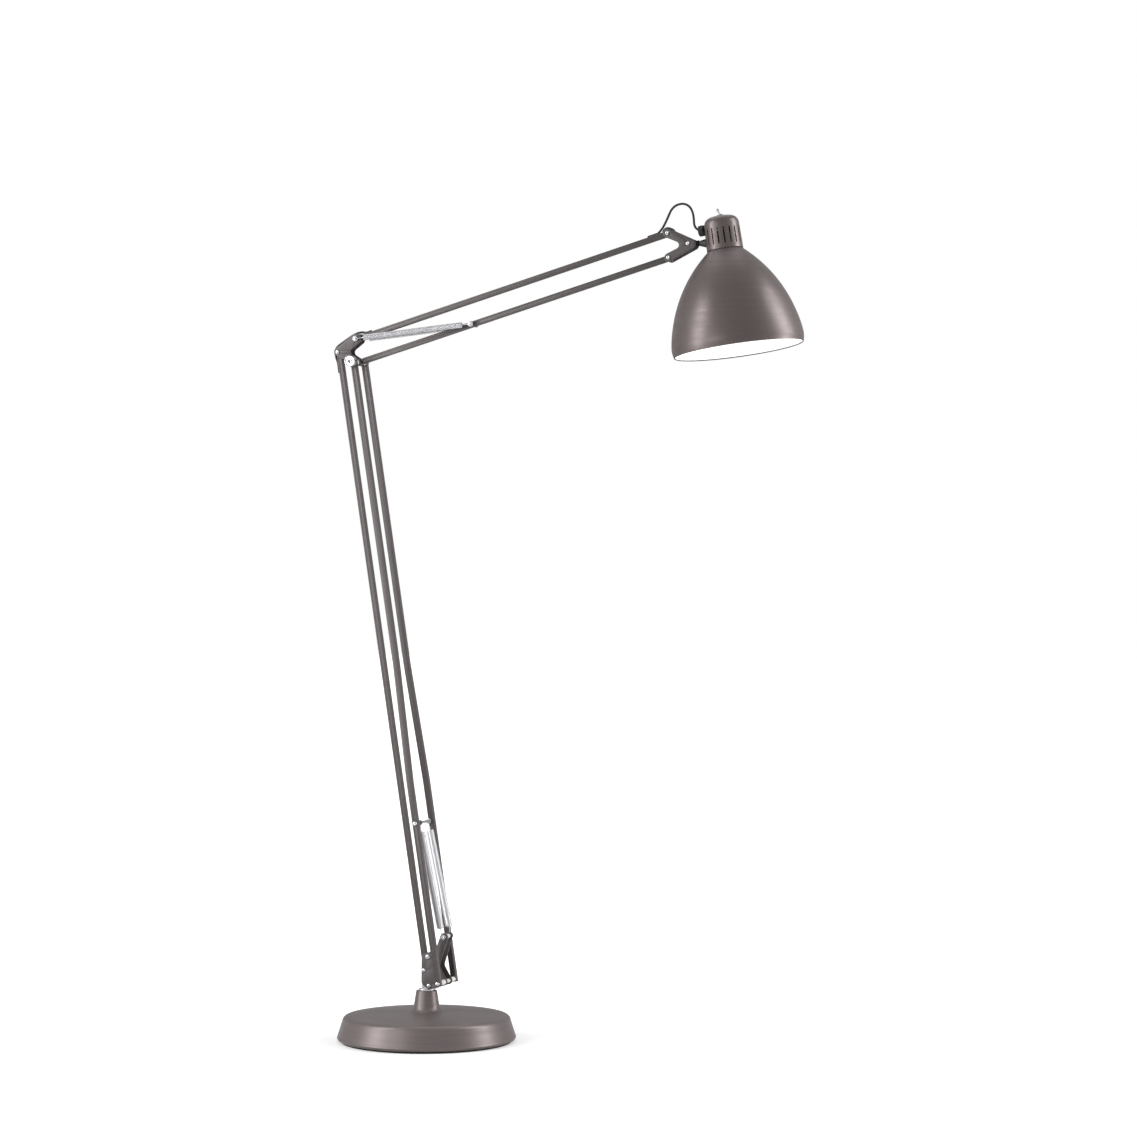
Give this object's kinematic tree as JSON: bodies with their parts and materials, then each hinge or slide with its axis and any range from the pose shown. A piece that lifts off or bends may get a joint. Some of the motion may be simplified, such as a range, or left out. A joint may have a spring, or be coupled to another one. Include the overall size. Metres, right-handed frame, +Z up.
{
  "type": "floor lamp",
  "caption": "Reading floor lamp: heavy round foot, two spring-balanced parallelogram arms of square tube and a bell shade on a tilting head",
  "frame": {"origin": "centre of the round foot's underside, on the floor", "axes": "+X from the mast towards the shade in the arms' plane, +Z up, the arms' plane is Y = 0"},
  "size_m": [1.0939, 0.4, 1.8499],
  "materials": {
    "base_paint": "satin warm taupe-grey lacquer",
    "cast_weight": "raw casting",
    "black_rubber": "matte",
    "felt": "pressed felt",
    "chrome": "polished",
    "zinc_steel": "bright zinc",
    "spring_steel": "nickel-plated wire",
    "arm_paint": "satin warm taupe-grey lacquer",
    "black_paint": "satin black",
    "shade_paint": "spun sheet, taupe lacquer outside, white inside",
    "cap_paint": "taupe lacquer",
    "white_nylon": "satin",
    "black_plastic": "satin",
    "black_cable": "smooth jacket",
    "opal_glass": "opal diffuser",
    "porcelain": "glazed",
    "bronze_bush": "sintered"
  },
  "bodies": {
    "base": {"base_cover": "base_paint", "base_weight": "cast_weight", "foot_gasket": "black_rubber", "base_pad": "felt", "neck_bush": "bronze_bush", "neck_ring": "chrome"},
    "bracket": {"spindle": "zinc_steel", "bracket_plate_near": "arm_paint", "bracket_plate_far": "arm_paint", "bracket_pins": "chrome", "bracket_spacers": "white_nylon", "bar_axle": "chrome", "horn_bolt": "chrome"},
    "rear_arm": {"rear_tube": "arm_paint", "rear_tube_plugs": "black_plastic", "mast_grommet": "black_plastic", "elbow_cable_lower": "black_cable"},
    "front_bars": {"front_bar_near": "arm_paint", "front_bar_far": "arm_paint", "front_bar_plugs": "black_plastic", "spring_bolt": "chrome"},
    "lower_springs": {"lower_coils": "spring_steel", "lower_coil_anchors": "zinc_steel"},
    "lower_spring_ends": {"lower_coil_hooks": "zinc_steel"},
    "elbow": {"elbow_plate_near": "arm_paint", "elbow_plate_far": "arm_paint", "elbow_pins": "chrome", "elbow_spacers": "white_nylon", "elbow_axle": "chrome"},
    "knob": {"elbow_knob": "chrome"},
    "upper_arm": {"upper_tube": "arm_paint", "upper_tube_plugs": "black_plastic", "upper_grommets": "black_plastic", "cable_guide": "black_plastic", "elbow_cable_upper": "black_cable"},
    "stay": {"stay_tube": "arm_paint", "stay_tube_plugs": "black_plastic", "stay_bolt": "chrome", "stay_bolt_sleeves": "zinc_steel"},
    "upper_springs": {"upper_coils": "spring_steel", "upper_coil_anchors": "zinc_steel"},
    "upper_spring_ends": {"upper_coil_hooks": "zinc_steel"},
    "head_bracket": {"head_plate_near": "arm_paint", "head_plate_far": "arm_paint", "head_pins": "chrome", "head_washers": "white_nylon", "head_cable_rear": "black_cable"},
    "knuckle": {"tilt_knuckle": "black_paint"},
    "head": {"shade": "shade_paint", "lamp_cap": "cap_paint", "cable_gland": "black_plastic", "head_arm": "black_paint", "switch_nut": "chrome", "switch_body": "chrome", "holder_bridge": "zinc_steel", "lamp_holder": "porcelain", "shade_ring": "porcelain", "bulb": "opal_glass", "head_cable_front": "black_cable"},
    "lever": {"switch_lever": "chrome"}
  },
  "joints": [
    {"name": "base_swivel", "type": "hinge", "parent": "base", "child": "bracket", "pos_m": [0, 0, 0.115], "axis": [0, 0, 1], "range_deg": [-170, 170]},
    {"name": "lower_arm_tilt", "type": "hinge", "parent": "bracket", "child": "rear_arm", "pos_m": [0, 0, 0.16], "axis": [0, 1, 0], "range_deg": [-35, 7]},
    {"name": "front_bar_tilt", "type": "hinge", "parent": "bracket", "child": "front_bars", "pos_m": [0.048, 0, 0.1355], "axis": [0, 1, 0], "range_deg": [-36, 8]},
    {"name": "lower_spring_swing", "type": "hinge", "parent": "bracket", "child": "lower_springs", "pos_m": [0.048, 0, 0.2355], "axis": [0, 1, 0], "range_deg": [-46.85, 10.17]},
    {"name": "lower_spring_stretch", "type": "slide", "parent": "lower_springs", "child": "lower_spring_ends", "axis": [-0.2086, 0, 0.978], "range_m": [-0.0069, 0.0307], "deforming": ["lower_coils", "lower_coil_hooks", "lower_coil_anchors"]},
    {"name": "elbow_turn", "type": "hinge", "parent": "rear_arm", "child": "elbow", "pos_m": [-0.21177, 0, 1.54389], "axis": [0, 1, 0], "range_deg": [-8, 36], "deforming": ["elbow_cable_lower"]},
    {"name": "knob_turn", "type": "hinge", "parent": "elbow", "child": "knob", "pos_m": [-0.16376, -0.05, 1.51939], "axis": [0, 1, 0], "range_deg": [0, 90]},
    {"name": "upper_arm_tilt", "type": "hinge", "parent": "elbow", "child": "upper_arm", "pos_m": [-0.16637, 0, 1.57239], "axis": [0, -1, 0], "range_deg": [-35, 25], "deforming": ["elbow_cable_upper"]},
    {"name": "stay_tilt", "type": "hinge", "parent": "elbow", "child": "stay", "pos_m": [-0.16376, 0, 1.51939], "axis": [0, -1, 0], "range_deg": [-36, 26]},
    {"name": "upper_spring_swing", "type": "hinge", "parent": "elbow", "child": "upper_springs", "pos_m": [-0.16637, 0, 1.57239], "axis": [0, -1, 0], "range_deg": [-36, 26]},
    {"name": "upper_spring_stretch", "type": "slide", "parent": "upper_springs", "child": "upper_spring_ends", "axis": [0.9956, 0, 0.0933], "range_m": [-0.0227, 0.0314], "deforming": ["upper_coils", "upper_coil_hooks", "upper_coil_anchors"]},
    {"name": "head_bracket_turn", "type": "hinge", "parent": "upper_arm", "child": "head_bracket", "pos_m": [0.56996, 0, 1.78353], "axis": [0, -1, 0], "range_deg": [-26, 36], "deforming": ["head_cable_rear"]},
    {"name": "head_tilt", "type": "hinge", "parent": "head_bracket", "child": "knuckle", "pos_m": [0.61696, 0, 1.75973], "axis": [0, -1, 0], "range_deg": [-45, 60], "deforming": ["head_cable_front"]},
    {"name": "head_turn", "type": "hinge", "parent": "knuckle", "child": "head", "pos_m": [0.64696, 0, 1.75973], "axis": [1, 0, 0], "range_deg": [-80, 80]},
    {"name": "switch_throw", "type": "hinge", "parent": "head", "child": "lever", "pos_m": [0.68681, 0, 1.81755], "axis": [0, 1, 0], "range_deg": [0, 36]}
  ],
  "couplings": [
    {"joint": "front_bar_tilt", "follows": "lower_arm_tilt", "ratio": 1},
    {"joint": "lower_spring_swing", "follows": "lower_arm_tilt", "ratio": 1.31},
    {"joint": "lower_spring_stretch", "follows": "lower_arm_tilt", "m_per_rad": -0.0487},
    {"joint": "elbow_turn", "follows": "lower_arm_tilt", "ratio": -1},
    {"joint": "stay_tilt", "follows": "upper_arm_tilt", "ratio": 1},
    {"joint": "upper_spring_swing", "follows": "upper_arm_tilt", "ratio": 1},
    {"joint": "upper_spring_stretch", "follows": "upper_arm_tilt", "m_per_rad": -0.0498},
    {"joint": "head_bracket_turn", "follows": "upper_arm_tilt", "ratio": -1}
  ]
}
